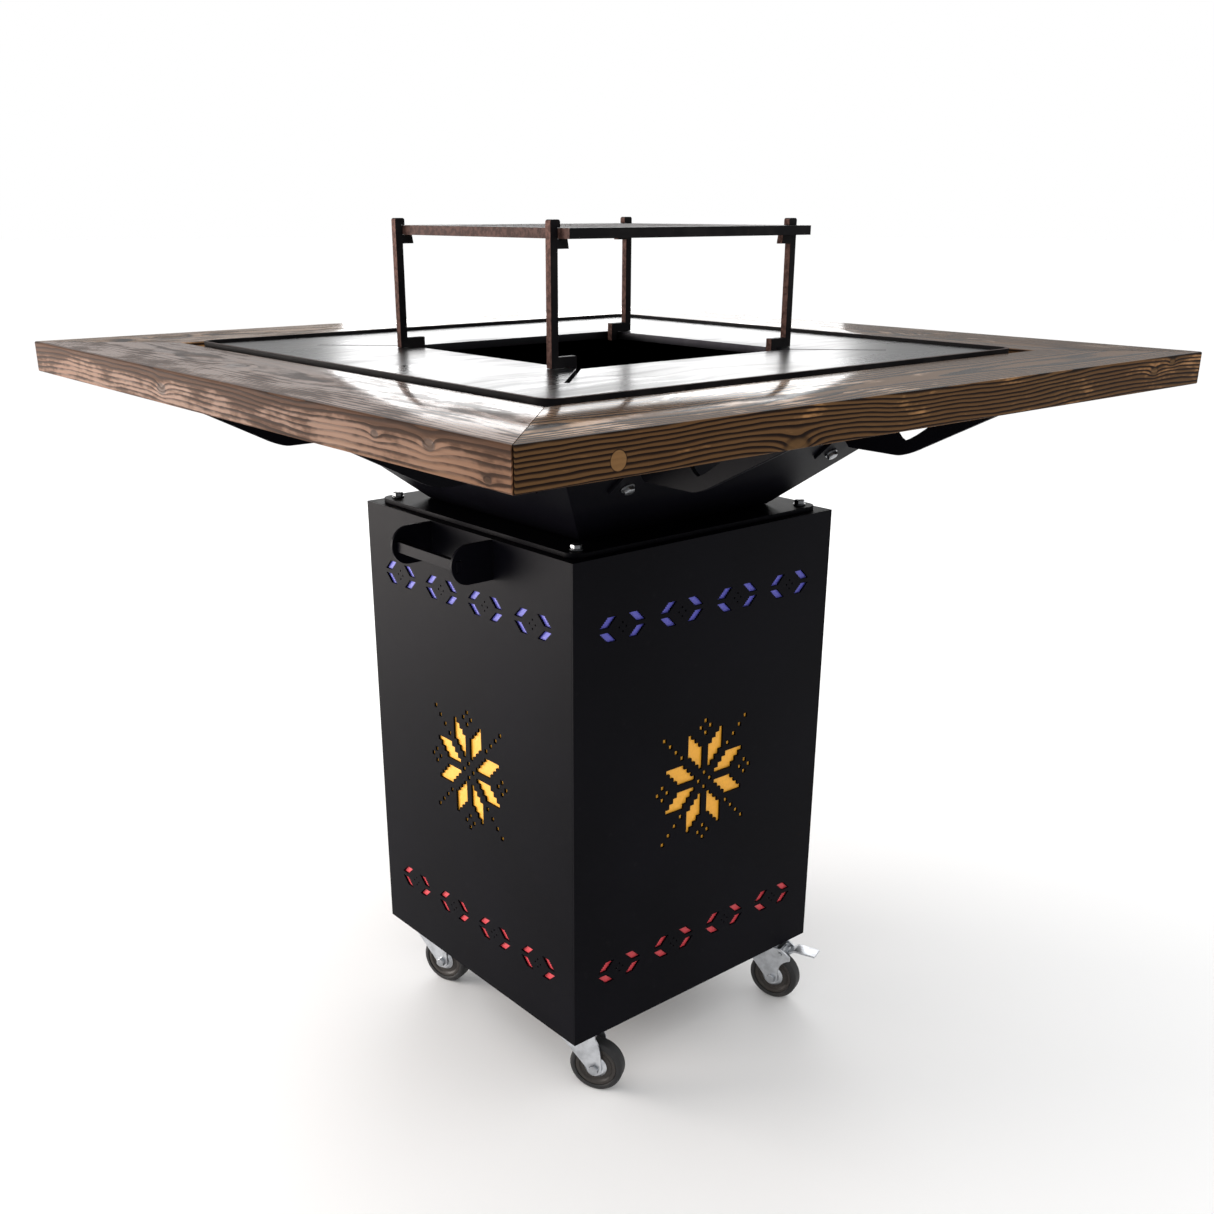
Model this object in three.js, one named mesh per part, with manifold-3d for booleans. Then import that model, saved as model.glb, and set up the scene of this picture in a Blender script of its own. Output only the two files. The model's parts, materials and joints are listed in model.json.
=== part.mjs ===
// Square fire pit table: wheeled cabinet, inverted-pyramid fire bowl, cooking plate with a fire
// opening, mitred wooden frame on steel brackets, and a grate on four hooked legs.
// Millimetres, +Z up. The origin is on the floor, under the middle of the table.
// Front is -Y, left is -X: the side with the handle.
import * as THREE from 'three';
import { mergeVertices } from 'three/addons/utils/BufferGeometryUtils.js';
import Module from 'manifold-3d';

// ---- Driving dimensions -------------------------------------------------------------------
// Gaps
const TOUCH_GAP = 0.3; // between pieces that rest on, or are welded to, each other
const BOLT_CLEARANCE = 0.5; // radial, round a bolt in its hole
const RUNNING_GAP = 0.8; // between parts that turn on each other

// Casters
const CASTER_HEIGHT = 110;
const CASTER_INSET = 48; // swivel axis from each side of the cabinet
const CASTER_TRAIL = 28; // axle behind the swivel axis
const MOUNT_SIDE = 84;
const MOUNT_SHEET = 3;
const RACE_RADIUS = 29;
const RACE_DEPTH = 9;
const KINGPIN_RADIUS = 6;
const KINGPIN_HEAD = 10;
const KINGPIN_HEAD_THICK = 3;
const WHEEL_RADIUS = 40;
const TYRE_THICK = 9;
const TYRE_WIDTH = 24;
const TYRE_CORNER = 4;
const HUB_RADIUS = 13;
const HUB_WIDTH = 28;
const WEB_WIDTH = 15;
const WHEEL_RIM_WIDTH = 21;
const WHEEL_RIM_THICK = 4;
const FORK_SHEET = 3;
const FORK_CROWN_RADIUS = 30;
const FORK_FOOT_RADIUS = 11; // rounded end of a fork leg, round the axle
const FORK_TAIL = 30; // braked fork's tail, past the axle
const AXLE_RADIUS = 4;
const AXLE_HEAD_FLATS = 13;
const AXLE_HEAD_THICK = 5;
const PEDAL_PIN_RADIUS = 2.5;
const PEDAL_PIN_BACK = 13; // pedal's pin behind the axle
const PEDAL_PIN_OVER_WHEEL = 8; // pin's axis over the tyre's top
const PEDAL_REACH = 56; // pedal's tip from its pin
const PEDAL_WIDTH = 24;
const PEDAL_SHEET = 3;
const PEDAL_RISE = 8; // bend of the pedal, pin to tread
// Rest direction of each wheel behind its swivel, in degrees from +X, towards +Y
const REST_SWIVELS = { front_left: -58, front_right: -70, back_left: -70, back_right: -65 };
const BRAKED = ['front_right', 'back_right'];

// Cabinet
const CABINET_SIDE = 480;
const CABINET_HEIGHT = 696;
const PANEL_SHEET = 3;
const CABINET_PLATE = 4; // top and floor plates
const LINER_SHEET = 1.5;
const LINER_MARGIN = 12; // liner's edge from the neighbouring panel

// Cut-out pattern, in the panel's plane, measured from the middle of each motif
const STAR_AXIS_GAP = 5.3; // half the bar left between a pair of petals
const STAR_START = 19; // petal's near end
const STAR_PETAL = 35; // length of a petal along the bar
const STAR_PETAL_WIDTH = 28;
const STAR_DROP = 7; // the star's middle under the panel's
const HEX_PITCH = 105;
const HEX_ROW_OFFSET = 252; // rows above and below the middle of the panel
const HEX_ROW_COUNT = 4;
const HEX_ARM_WIDTH = 15.5;
const HEX_ARM_SHIFT = 12;
const HEX_ARM_NEAR = 3; // arm's inner edge from the motif's middle line
const HEX_ARM_HEIGHT = 13.8;
const HEX_HALF_WIDTH = 38.5;

// Fire bowl and its base flange
const FLANGE_SIDE = 454;
const FLANGE_THICK = 6;
const FLANGE_CORNER = 20;
const FLANGE_BOLT_INSET = 20;
const BOLT_RADIUS = 4;
const BOLT_FLATS = 13;
const BOLT_HEAD = 5.5;
const WASHER_RADIUS = 9;
const WASHER_THICK = 1.6;
const BOLT_TAIL = 6; // shank past the cabinet's top plate
const BOWL_BOTTOM_SIDE = 348;
const BOWL_HEIGHT = 200;
const BOWL_SHEET = 3;
const BOWL_TOP_INSET = 9.5; // bowl's top edge from the rim's outer face

// Cooking plate and rim
const RIM_SIDE = 809;
const RIM_THICK = 5;
const RIM_HEIGHT = 20;
const RIM_LEDGE_WIDTH = 20;
const RIM_LEDGE_THICK = 4;
const RIM_CORNER = 25;
const PLATE_THICK = 11;
const PLATE_EDGE_GAP = 0.5;
const OPENING_SIDE = 374;
const SLOT_WIDTH = 6;
const SLOT_LENGTH = 134;

// Wooden frame
const BOARD_WIDTH = 157;
const BOARD_THICK = 42;
const WOOD_TO_RIM_GAP = 16.5;
const RIM_PROUD = 3; // rim above the wood
const BOARD_EASE = 3; // rounded long edges
const MITRE_GAP = 0.4;

// Brackets
const BRACKET_OFFSET = 185; // web from the middle of its side
const BRACKET_SHEET = 6;
const BRACKET_TIP_INSET = 26; // web's outer end from the table's edge
const BRACKET_DEPTH = 78; // web's lowest edge under the wood
const BRACKET_NOSE_SLOPE = 0.51; // outer lower edge, rise over run
const BRACKET_BEND_RISE = 13; // where the nose's slope starts, over the lowest edge
const BRACKET_BEND_RUN = 38; // length of that bend
const BRACKET_HEEL = 18; // lower edge square to the bowl
const NOTCH_DEPTH = 58;
const NOTCH_FROM_BOWL = 30; // notch's lowest point from the bowl's face at the wood
const NOTCH_TO_TIP = 77; // notch's outer end from the tip
const BRACKET_FOOT_WIDTH = 56;
const BRACKET_FOOT_LENGTH = 24;
const BRACKET_FOOT_THICK = 6;
const BRACKET_PAD_WIDTH = 44;
const BRACKET_PAD_THICK = 5;
const BRACKET_PAD_DROP = 94; // pad's lower edge under the wood
const BRACKET_PAD_HEIGHT = 80;

// Handle
const HANDLE_SPAN = 143; // between the middles of the cheeks
const HANDLE_REACH = 65;
const CHEEK_HEIGHT = 54;
const CHEEK_SHEET = 5;
const CHEEK_TOP_DROP = 1; // cheeks' top under the cabinet's
const BAR_HEIGHT = 15;
const BAR_THICK = 8;
const BAR_INSET = 7; // bar's outer face from the cheek's end
const BAR_TENON_PROUD = 1;

// Grate and its legs
const LEG_SHEET = 10;
const LEG_SPINE = 11;
const FRONT_LEG_FROM_CORNER = 23.5; // leg's middle from the side of the opening
const BACK_LEG_FROM_CORNER = 14;
const LEG_SET_BACK = 15; // spine's inner face from the opening's edge
const FOOT_HEIGHT = 13;
const HOOK_WIDTH = 12;
const HOOK_DROP = 13;
const HOOK_CLEARANCE = 1.5;
const GRATE_HEIGHT = 148; // grate's underside over the cooking plate
const GRATE_THICK = 12;
const GRATE_SIDE_GAP = 0.5; // grate's edge to the spines
const GRATE_OVERHANG_FRONT = 21; // grate past its legs
const GRATE_OVERHANG_BACK = 15;
const GRATE_OVERHANG_RIGHT = 5; // grate past the right-hand spines, which pass it in notches
const LEDGE_WIDTH = 17;
const LEDGE_THICK = 11;
const LEDGE_SLANT = 2;
const TAB_HEIGHT = 9;
const TAB_WIDTH = 15;
const TAB_CORNER = 3;
const GRATE_BORDER = 40;
const GRATE_SLOT_WIDTH = 9;
const GRATE_SLOT_COUNT = 13;

// ---- Derived places -----------------------------------------------------------------------
const cabinetHalf = CABINET_SIDE / 2;
const cabinetInner = cabinetHalf - PANEL_SHEET - TOUCH_GAP;
const cabinetBottom = CASTER_HEIGHT;
const cabinetTop = cabinetBottom + CABINET_HEIGHT;
const cabinetMiddle = cabinetBottom + CABINET_HEIGHT / 2;
const flangeBottom = cabinetTop + TOUCH_GAP;
const flangeTop = flangeBottom + FLANGE_THICK;
const bowlBottom = flangeTop + TOUCH_GAP;
const bowlTop = bowlBottom + BOWL_HEIGHT;
const rimHalf = RIM_SIDE / 2;
const rimBottom = bowlTop + TOUCH_GAP;
const rimTop = rimBottom + RIM_HEIGHT;
const plateBottom = rimBottom + RIM_LEDGE_THICK + TOUCH_GAP;
const plateTop = plateBottom + PLATE_THICK;
const openingHalf = OPENING_SIDE / 2;
const woodTop = rimTop - RIM_PROUD;
const woodBottom = woodTop - BOARD_THICK;
const boardInner = rimHalf + WOOD_TO_RIM_GAP;
const tableHalf = boardInner + BOARD_WIDTH;
const bowlTopHalf = rimHalf - BOWL_TOP_INSET;
const bowlSpread = (bowlTopHalf - BOWL_BOTTOM_SIDE / 2) / BOWL_HEIGHT;
const bowlStretch = Math.hypot(1, bowlSpread); // level run of the wall per unit of thickness
const bowlHalfAt = (z) => BOWL_BOTTOM_SIDE / 2 + bowlSpread * (z - bowlBottom);

// ---- Materials ----------------------------------------------------------------------------
const finish = (color, roughness, metalness) => () =>
  new THREE.MeshStandardMaterial({ color, roughness, metalness });
const wood = finish(0xb08a5c, 0.75, 0);
const blackSteel = finish(0x2b2b2e, 0.5, 0.6);
const oiledSteel = finish(0x5c5c60, 0.3, 0.9);
const scorchedSteel = finish(0x4a403c, 0.55, 0.8);
const paintedSheet = finish(0xe0a030, 0.6, 0);
const zinc = finish(0xb8bec4, 0.35, 0.9);
const blackRubber = finish(0x26242a, 0.85, 0);
const wheelPlastic = finish(0x4a443f, 0.8, 0);

// ---- Solid modelling helpers --------------------------------------------------------------
const wasm = await Module();
wasm.setup();

function toSolid(geometry) {
  const plain = geometry.clone();
  plain.deleteAttribute('normal');
  plain.deleteAttribute('uv');
  const merged = mergeVertices(plain, 1e-4);
  return new wasm.Manifold(new wasm.Mesh({
    numProp: 3,
    vertProperties: Float32Array.from(merged.attributes.position.array),
    triVerts: Uint32Array.from(merged.index.array),
  }));
}

function toGeometry(solid) {
  const mesh = solid.getMesh();
  const geometry = new THREE.BufferGeometry();
  geometry.setAttribute('position', new THREE.BufferAttribute(mesh.vertProperties, 3));
  geometry.setIndex(new THREE.BufferAttribute(mesh.triVerts, 1));
  const faceted = geometry.toNonIndexed();
  faceted.computeVertexNormals();
  return faceted;
}

function join(...parts) {
  return toGeometry(parts.map(toSolid).reduce((sum, part) => sum.add(part)));
}

function cut(base, ...tools) {
  return toGeometry(tools.map(toSolid).reduce((rest, tool) => rest.subtract(tool), toSolid(base)));
}

function block(x0, x1, y0, y1, z0, z1) {
  const geometry = new THREE.BoxGeometry(x1 - x0, y1 - y0, z1 - z0);
  return geometry.translate((x0 + x1) / 2, (y0 + y1) / 2, (z0 + z1) / 2);
}

// An upright cylinder, or a frustum where topRadius is given, with its lower end at z.
function rod(radius, height, z, segments = 24, topRadius = radius) {
  const geometry = new THREE.CylinderGeometry(topRadius, radius, height, segments);
  return geometry.rotateX(Math.PI / 2).translate(0, 0, z + height / 2);
}

// A cylinder along Y, centred on (x, 0, z).
function crossRod(radius, length, x, z, segments = 20) {
  return new THREE.CylinderGeometry(radius, radius, length, segments).translate(x, 0, z);
}

// A hexagonal prism as a bolt head or nut, with its lower end at z.
const hexHead = (flats, height, z) => rod(flats / Math.sqrt(3), height, z, 6);

function extrude(shape, depth, curveSegments) {
  return new THREE.ExtrudeGeometry(shape, { depth, bevelEnabled: false, curveSegments });
}

// An outline in the XY plane, raised from z.
const raise = (shape, height, z, curveSegments = 6) =>
  extrude(shape, height, curveSegments).translate(0, 0, z);

// An outline drawn as (x, z), as a plate centred on y.
const platePastY = (shape, thickness, y, curveSegments = 6) =>
  extrude(shape, thickness, curveSegments)
    .translate(0, 0, -thickness / 2)
    .rotateX(Math.PI / 2)
    .translate(0, y, 0);

// An outline drawn as (y, z), as a bar centred on x.
function barAlongX(shape, length, x = 0, curveSegments = 6) {
  const turn = new THREE.Matrix4().makeBasis(
    new THREE.Vector3(0, 1, 0),
    new THREE.Vector3(0, 0, 1),
    new THREE.Vector3(1, 0, 0),
  );
  return extrude(shape, length, curveSegments).applyMatrix4(turn).translate(x - length / 2, 0, 0);
}

function outline(points) {
  const shape = new THREE.Shape();
  shape.moveTo(...points[0]);
  points.slice(1).forEach((point) => shape.lineTo(...point));
  shape.closePath();
  return shape;
}

function roundedBox(x0, x1, y0, y1, radius) {
  const quarter = Math.PI / 2;
  const shape = new THREE.Shape();
  shape.moveTo(x0 + radius, y0);
  shape.lineTo(x1 - radius, y0);
  shape.absarc(x1 - radius, y0 + radius, radius, -quarter, 0, false);
  shape.lineTo(x1, y1 - radius);
  shape.absarc(x1 - radius, y1 - radius, radius, 0, quarter, false);
  shape.lineTo(x0 + radius, y1);
  shape.absarc(x0 + radius, y1 - radius, radius, quarter, 2 * quarter, false);
  shape.lineTo(x0, y0 + radius);
  shape.absarc(x0 + radius, y0 + radius, radius, 2 * quarter, 3 * quarter, false);
  return shape;
}

const roundedSquare = (half, radius) => roundedBox(-half, half, -half, half, radius);

const pit = new THREE.Group();

function place(name, geometry, material, parent = pit) {
  const mesh = new THREE.Mesh(geometry, material());
  mesh.name = name;
  parent.add(mesh);
  return mesh;
}

// The four sides, as quarter turns from the front.
const SIDES = ['front', 'right', 'back', 'left'];

function placeOnEachSide(prefix, geometry, material) {
  SIDES.forEach((side, turn) => {
    place(`${prefix}_${side}`, geometry.clone().rotateZ((turn * Math.PI) / 2), material);
  });
}

// ---- Wooden frame -------------------------------------------------------------------------
// A board along X with eased edges, cut off at both ends on the diagonals of the table.
function mitredBoard() {
  const section = roundedBox(-tableHalf, -boardInner, woodBottom, woodTop, BOARD_EASE);
  const reach = 2 * tableHalf;
  const gapRun = MITRE_GAP / Math.SQRT2;
  const beyondMitre = (side) => {
    const corners = [[-gapRun, 0], [reach, 0], [reach, -reach - gapRun]];
    const shape = outline(corners.map(([x, y]) => [side * x, y]));
    return raise(shape, 2 * BOARD_THICK, woodBottom - BOARD_THICK / 2);
  };
  return cut(barAlongX(section, 2 * tableHalf, 0, 2), beyondMitre(1), beyondMitre(-1));
}

placeOnEachSide('board', mitredBoard(), wood);

// ---- Cooking plate, rim and fire bowl -----------------------------------------------------
function rimFrame() {
  const ledgeHalf = rimHalf - RIM_THICK - RIM_LEDGE_WIDTH;
  const innerCorner = RIM_CORNER - RIM_THICK;
  return cut(
    raise(roundedSquare(rimHalf, RIM_CORNER), RIM_HEIGHT, rimBottom),
    raise(roundedSquare(rimHalf - RIM_THICK, innerCorner), RIM_HEIGHT, rimBottom + RIM_LEDGE_THICK),
    block(-ledgeHalf, ledgeHalf, -ledgeHalf, ledgeHalf, rimBottom - 1, rimTop),
  );
}

function cookingPlate() {
  const half = rimHalf - RIM_THICK - PLATE_EDGE_GAP;
  const slotReach = openingHalf * Math.SQRT2 + SLOT_LENGTH;
  const slot = block(
    -slotReach, slotReach, -SLOT_WIDTH / 2, SLOT_WIDTH / 2, plateBottom - 1, plateTop + 1,
  );
  return cut(
    raise(roundedSquare(half, RIM_CORNER - RIM_THICK), PLATE_THICK, plateBottom),
    block(-openingHalf, openingHalf, -openingHalf, openingHalf, plateBottom - 1, plateTop + 1),
    slot.clone().rotateZ(Math.PI / 4),
    slot.clone().rotateZ(-Math.PI / 4),
  );
}

// A four-sided frustum square to X and Y.
const frustum = (bottomHalf, topHalf, height, z) =>
  rod(bottomHalf * Math.SQRT2, height, z, 4, topHalf * Math.SQRT2).rotateZ(Math.PI / 4);

function fireBowl() {
  const wallRun = BOWL_SHEET * bowlStretch;
  const floor = bowlBottom + BOWL_SHEET;
  const cutTop = bowlTop + 1;
  return cut(
    frustum(BOWL_BOTTOM_SIDE / 2, bowlTopHalf, BOWL_HEIGHT, bowlBottom),
    frustum(bowlHalfAt(floor) - wallRun, bowlHalfAt(cutTop) - wallRun, cutTop - floor, floor),
  );
}

place('plancha_rim', rimFrame(), scorchedSteel);
place('plancha_plate', cookingPlate(), oiledSteel);
place('fire_bowl', fireBowl(), blackSteel);

// ---- Flange and its bolts -----------------------------------------------------------------
const boltReach = FLANGE_SIDE / 2 - FLANGE_BOLT_INSET;
const boltPlaces = [
  ['front_left', -boltReach, -boltReach],
  ['front_right', boltReach, -boltReach],
  ['back_right', boltReach, boltReach],
  ['back_left', -boltReach, boltReach],
];

function drillForBolts(plate, z0, z1) {
  const holes = boltPlaces.map(([, x, y]) =>
    rod(BOLT_RADIUS + BOLT_CLEARANCE, z1 - z0 + 2, z0 - 1, 12).translate(x, y, 0));
  return cut(plate, ...holes);
}

const flange = raise(roundedSquare(FLANGE_SIDE / 2, FLANGE_CORNER), FLANGE_THICK, flangeBottom);
place('bowl_flange', drillForBolts(flange, flangeBottom, flangeTop), blackSteel);

function flangeBolt() {
  const washerBottom = flangeTop + TOUCH_GAP;
  const shankBottom = cabinetTop - CABINET_PLATE - BOLT_TAIL;
  return join(
    rod(WASHER_RADIUS, WASHER_THICK, washerBottom, 20),
    hexHead(BOLT_FLATS, BOLT_HEAD + WASHER_THICK, washerBottom),
    rod(BOLT_RADIUS, washerBottom + WASHER_THICK - shankBottom, shankBottom, 12),
  );
}

boltPlaces.forEach(([corner, x, y]) => {
  place(`flange_bolt_${corner}`, flangeBolt(), zinc).position.set(x, y, 0);
});

// ---- Cabinet ------------------------------------------------------------------------------
// Each panel butts against the next one's inner face, so that all four are alike.
function mirroredQuads(points) {
  const flips = [[1, 1], [-1, 1], [-1, -1], [1, -1]];
  return flips.map(([fx, fz]) => points.map(([x, z]) => [fx * x, fz * z]));
}

function starHoles() {
  const near = STAR_AXIS_GAP;
  const far = STAR_AXIS_GAP + STAR_PETAL_WIDTH;
  const petal = [
    [near, STAR_START],
    [far, STAR_START + STAR_PETAL_WIDTH],
    [far, STAR_START + STAR_PETAL_WIDTH + STAR_PETAL],
    [near, STAR_START + STAR_PETAL],
  ];
  const turned = petal.map(([x, z]) => [z, x]);
  return [...mirroredQuads(petal), ...mirroredQuads(turned)];
}

function hexHoles() {
  const far = HEX_ARM_NEAR + HEX_ARM_HEIGHT;
  return mirroredQuads([
    [HEX_HALF_WIDTH - HEX_ARM_WIDTH, HEX_ARM_NEAR],
    [HEX_HALF_WIDTH, HEX_ARM_NEAR],
    [HEX_HALF_WIDTH - HEX_ARM_SHIFT, far],
    [HEX_HALF_WIDTH - HEX_ARM_SHIFT - HEX_ARM_WIDTH, far],
  ]);
}

function patternHoles() {
  const shifted = (holes, x, z) => holes.map((hole) => hole.map(([a, b]) => [a + x, b + z]));
  const holes = shifted(starHoles(), 0, cabinetMiddle - STAR_DROP);
  const rowStart = (-HEX_PITCH * (HEX_ROW_COUNT - 1)) / 2;
  for (let i = 0; i < HEX_ROW_COUNT; i += 1) {
    const x = rowStart + i * HEX_PITCH;
    holes.push(...shifted(hexHoles(), x, cabinetMiddle + HEX_ROW_OFFSET));
    holes.push(...shifted(hexHoles(), x, cabinetMiddle - HEX_ROW_OFFSET));
  }
  return holes;
}

function cabinetPanel() {
  const outer = -cabinetHalf;
  const sheet = block(outer, cabinetInner, outer, outer + PANEL_SHEET, cabinetBottom, cabinetTop);
  const holes = patternHoles().map((hole) =>
    platePastY(outline(hole), 3 * PANEL_SHEET, outer + PANEL_SHEET / 2));
  return cut(sheet, ...holes);
}

function liner() {
  const halfWidth = cabinetInner - LINER_MARGIN;
  const bottom = cabinetBottom + CABINET_PLATE + TOUCH_GAP;
  const top = cabinetTop - CABINET_PLATE - TOUCH_GAP;
  return block(-halfWidth, halfWidth, -cabinetInner, -cabinetInner + LINER_SHEET, bottom, top);
}

function cabinetPlate(z) {
  return block(-cabinetInner, cabinetInner, -cabinetInner, cabinetInner, z, z + CABINET_PLATE);
}

placeOnEachSide('cabinet_panel', cabinetPanel(), blackSteel);
placeOnEachSide('colour_liner', liner(), paintedSheet);
const topPlateBottom = cabinetTop - CABINET_PLATE;
place('cabinet_top', drillForBolts(cabinetPlate(topPlateBottom), topPlateBottom, cabinetTop), blackSteel);
place('cabinet_floor', cabinetPlate(cabinetBottom), blackSteel);

// ---- Handle -------------------------------------------------------------------------------
const handleTop = cabinetTop - CHEEK_TOP_DROP;
const handleMiddle = handleTop - CHEEK_HEIGHT / 2;
const handleRoot = -cabinetHalf - TOUCH_GAP;
const handleEnd = -cabinetHalf - HANDLE_REACH;
const barOuter = handleEnd + BAR_INSET;

function handleCheek() {
  const radius = CHEEK_HEIGHT / 2;
  const shape = new THREE.Shape();
  shape.moveTo(handleRoot, handleMiddle + radius);
  shape.lineTo(handleEnd + radius, handleMiddle + radius);
  shape.absarc(handleEnd + radius, handleMiddle, radius, Math.PI / 2, 1.5 * Math.PI, false);
  shape.lineTo(handleRoot, handleMiddle - radius);
  shape.closePath();
  const mortice = block(
    barOuter - TOUCH_GAP,
    barOuter + BAR_THICK + TOUCH_GAP,
    -CHEEK_SHEET,
    CHEEK_SHEET,
    handleMiddle - BAR_HEIGHT / 2 - TOUCH_GAP,
    handleMiddle + BAR_HEIGHT / 2 + TOUCH_GAP,
  );
  return cut(platePastY(shape, CHEEK_SHEET, 0, 20), mortice);
}

place('handle_cheek_front', handleCheek(), blackSteel).position.y = -HANDLE_SPAN / 2;
place('handle_cheek_back', handleCheek(), blackSteel).position.y = HANDLE_SPAN / 2;
const barHalf = HANDLE_SPAN / 2 + CHEEK_SHEET / 2 + BAR_TENON_PROUD;
place('handle_bar', block(
  barOuter,
  barOuter + BAR_THICK,
  -barHalf,
  barHalf,
  handleMiddle - BAR_HEIGHT / 2,
  handleMiddle + BAR_HEIGHT / 2,
), blackSteel);

// ---- Brackets -----------------------------------------------------------------------------
// Drawn as (outward, z) from the middle of the table; the front is -Y, so outward is -y.
const wallGap = TOUCH_GAP * bowlStretch;
const bowlNormal = [1 / bowlStretch, -bowlSpread / bowlStretch];
const onBowl = (z) => [bowlHalfAt(z) + wallGap, z];
const offBowl = ([d, z], distance) => [d + bowlNormal[0] * distance, z + bowlNormal[1] * distance];
const seatUnderWood = woodBottom - TOUCH_GAP;

function bracketWeb() {
  const lowest = woodBottom - BRACKET_DEPTH;
  const heelStart = onBowl(lowest - bowlNormal[1] * BRACKET_HEEL);
  const heelEnd = offBowl(heelStart, BRACKET_HEEL);
  const tip = tableHalf - BRACKET_TIP_INSET;
  const bendEnd = tip - (BRACKET_DEPTH - BRACKET_BEND_RISE) / BRACKET_NOSE_SLOPE;
  const bendKnee = bendEnd - BRACKET_BEND_RISE / BRACKET_NOSE_SLOPE;
  const top = onBowl(seatUnderWood);
  const notchLow = [top[0] + NOTCH_FROM_BOWL, woodBottom - NOTCH_DEPTH];
  const notchEnd = tip - NOTCH_TO_TIP;
  const shape = new THREE.Shape();
  shape.moveTo(-heelStart[0], heelStart[1]);
  shape.lineTo(-heelEnd[0], heelEnd[1]);
  shape.lineTo(-(bendEnd - BRACKET_BEND_RUN), lowest);
  shape.quadraticCurveTo(-bendKnee, lowest, -bendEnd, lowest + BRACKET_BEND_RISE);
  shape.lineTo(-tip, seatUnderWood);
  shape.lineTo(-notchEnd, seatUnderWood);
  shape.quadraticCurveTo(
    -(notchLow[0] + 0.3 * (notchEnd - notchLow[0])),
    notchLow[1] + 0.14 * NOTCH_DEPTH,
    -notchLow[0],
    notchLow[1],
  );
  shape.quadraticCurveTo(
    -(top[0] + 0.36 * NOTCH_FROM_BOWL),
    notchLow[1] + 0.1 * NOTCH_DEPTH,
    -top[0],
    top[1],
  );
  shape.closePath();
  return barAlongX(shape, BRACKET_SHEET, 0, 6);
}

function bracketPad() {
  const low = onBowl(woodBottom - BRACKET_PAD_DROP);
  const high = onBowl(low[1] + BRACKET_PAD_HEIGHT);
  const corners = [low, offBowl(low, BRACKET_PAD_THICK), offBowl(high, BRACKET_PAD_THICK), high];
  return barAlongX(outline(corners.map(([d, z]) => [-d, z])), BRACKET_PAD_WIDTH);
}

function bracketFoot() {
  const tip = tableHalf - BRACKET_TIP_INSET;
  return block(
    -BRACKET_FOOT_WIDTH / 2,
    BRACKET_FOOT_WIDTH / 2,
    -tip,
    -tip + BRACKET_FOOT_LENGTH,
    seatUnderWood - BRACKET_FOOT_THICK,
    seatUnderWood,
  );
}

const bracket = join(bracketWeb(), bracketPad(), bracketFoot());
placeOnEachSide('bracket_a', bracket.clone().translate(-BRACKET_OFFSET, 0, 0), blackSteel);
placeOnEachSide('bracket_b', bracket.clone().translate(BRACKET_OFFSET, 0, 0), blackSteel);

// ---- Grate and its legs -------------------------------------------------------------------
const frontLegY = -(openingHalf - FRONT_LEG_FROM_CORNER);
const backLegY = openingHalf - BACK_LEG_FROM_CORNER;
const spineInner = openingHalf + LEG_SET_BACK;
const grateBottom = plateTop + GRATE_HEIGHT;
const grateTop = grateBottom + GRATE_THICK;
const hookOuter = openingHalf - HOOK_CLEARANCE;

// A leg on the right-hand side, drawn as (x, z).
function grateLeg() {
  const spineOuter = spineInner + LEG_SPINE;
  const footBottom = plateTop + TOUCH_GAP;
  const footTop = footBottom + FOOT_HEIGHT;
  const ledgeTop = grateBottom - TOUCH_GAP;
  const tabBottom = grateTop + TOUCH_GAP;
  const tabTop = tabBottom + TAB_HEIGHT;
  const tabInner = spineOuter - TAB_WIDTH;
  const shape = new THREE.Shape();
  shape.moveTo(spineOuter, footBottom);
  shape.lineTo(spineOuter, tabTop - TAB_CORNER);
  shape.absarc(spineOuter - TAB_CORNER, tabTop - TAB_CORNER, TAB_CORNER, 0, Math.PI / 2, false);
  shape.lineTo(tabInner + TAB_CORNER, tabTop);
  shape.absarc(tabInner + TAB_CORNER, tabTop - TAB_CORNER, TAB_CORNER, Math.PI / 2, Math.PI, false);
  shape.lineTo(tabInner, tabBottom);
  shape.lineTo(spineInner, tabBottom);
  shape.lineTo(spineInner, ledgeTop);
  shape.lineTo(spineInner - LEDGE_WIDTH + LEDGE_SLANT, ledgeTop);
  shape.lineTo(spineInner - LEDGE_WIDTH, ledgeTop - LEDGE_THICK);
  shape.lineTo(spineInner, ledgeTop - LEDGE_THICK);
  shape.lineTo(spineInner, footTop);
  shape.lineTo(hookOuter - HOOK_WIDTH, footTop);
  shape.lineTo(hookOuter - HOOK_WIDTH, footBottom - HOOK_DROP);
  shape.lineTo(hookOuter, footBottom - HOOK_DROP);
  shape.lineTo(hookOuter, footBottom);
  shape.closePath();
  return platePastY(shape, LEG_SHEET, 0, 4);
}

const leftLeg = grateLeg().rotateZ(Math.PI);
const rightLeg = grateLeg();
place('grate_leg_front_right', rightLeg.clone(), scorchedSteel).position.y = frontLegY;
place('grate_leg_back_right', rightLeg, scorchedSteel).position.y = backLegY;
place('grate_leg_front_left', leftLeg.clone(), scorchedSteel).position.y = frontLegY;
place('grate_leg_back_left', leftLeg, scorchedSteel).position.y = backLegY;

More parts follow.
